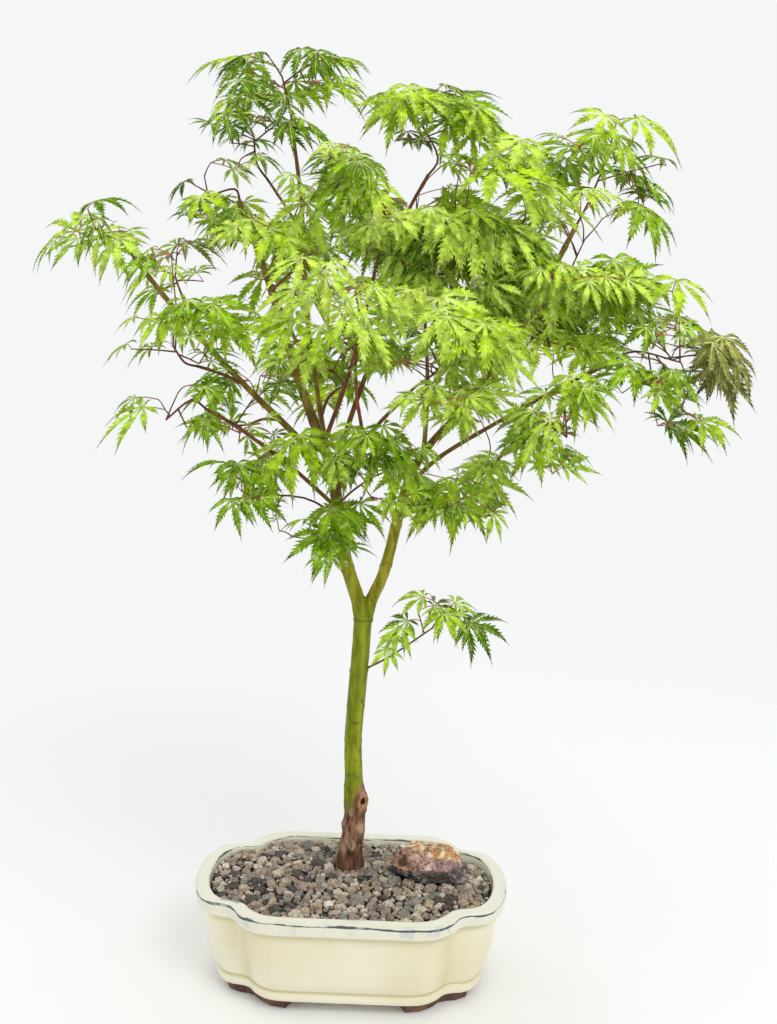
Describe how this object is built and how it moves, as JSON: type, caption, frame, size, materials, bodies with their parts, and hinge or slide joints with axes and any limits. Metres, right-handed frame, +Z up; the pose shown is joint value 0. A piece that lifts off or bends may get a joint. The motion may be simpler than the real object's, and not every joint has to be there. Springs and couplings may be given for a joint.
{
  "type": "bonsai tree",
  "caption": "Japanese maple grown as a bonsai: forked green trunk, open spreading boughs and palmate leaves, in a shallow lobed glazed pot with gravel and a rough stone.",
  "frame": {"origin": "middle of the whole object's box in plan, at the underside of the four feet", "axes": "+Z up, +X to the right seen from the front; the pot's long front faces -Y"},
  "size_m": [0.5346, 0.4364, 0.7342],
  "materials": {
    "pot_glaze": "glossy cream glaze",
    "foot_clay": "unglazed dark clay",
    "gravel": "matte grey-brown grains",
    "stone": "rough broken face",
    "bark_brown": "brown bark, green above",
    "bark_green": "smooth olive-green bark",
    "bark_red": "smooth reddish-brown bark",
    "foliage": "satin leaf"
  },
  "bodies": {
    "root": {"pot": "pot_glaze", "foot_front_left": "foot_clay", "foot_front_right": "foot_clay", "foot_back_left": "foot_clay", "foot_back_right": "foot_clay", "gravel": "gravel", "rock": "stone", "trunk": "bark_brown", "leader_left": "bark_green", "leader_right": "bark_green", "bough_crest": "bark_red", "bough_left": "bark_red", "bough_left_side": "bark_red", "bough_left_front": "bark_red", "bough_left_low": "bark_red", "bough_left_under": "bark_red", "bough_top": "bark_red", "bough_upper_left": "bark_red", "bough_inner_left": "bark_red", "bough_back_left": "bark_red", "bough_centre_back": "bark_red", "bough_middle": "bark_red", "bough_front": "bark_red", "bough_front_right": "bark_red", "bough_front_low": "bark_red", "bough_right": "bark_red", "bough_right_inner": "bark_red", "bough_far_right": "bark_red", "bough_right_low": "bark_red", "bough_centre_right": "bark_red", "bough_back": "bark_red", "bough_back_right": "bark_red", "foliage_left_tip": "foliage", "foliage_left_upper": "foliage", "foliage_left_front": "foliage", "foliage_left_low": "foliage", "foliage_left_under": "foliage", "foliage_crest": "foliage", "foliage_top_left": "foliage", "foliage_upper_left": "foliage", "foliage_inner_left": "foliage", "foliage_back_left": "foliage", "foliage_centre_back": "foliage", "foliage_top": "foliage", "foliage_front": "foliage", "foliage_front_right": "foliage", "foliage_front_low": "foliage", "foliage_top_right": "foliage", "foliage_right": "foliage", "foliage_far_right": "foliage", "foliage_right_low": "foliage", "foliage_centre_right": "foliage", "foliage_back": "foliage", "foliage_back_right": "foliage", "foliage_low_left": "foliage", "foliage_low": "foliage", "foliage_low_centre": "foliage", "foliage_low_right": "foliage", "foliage_low_branch": "foliage"}
  },
  "joints": []
}
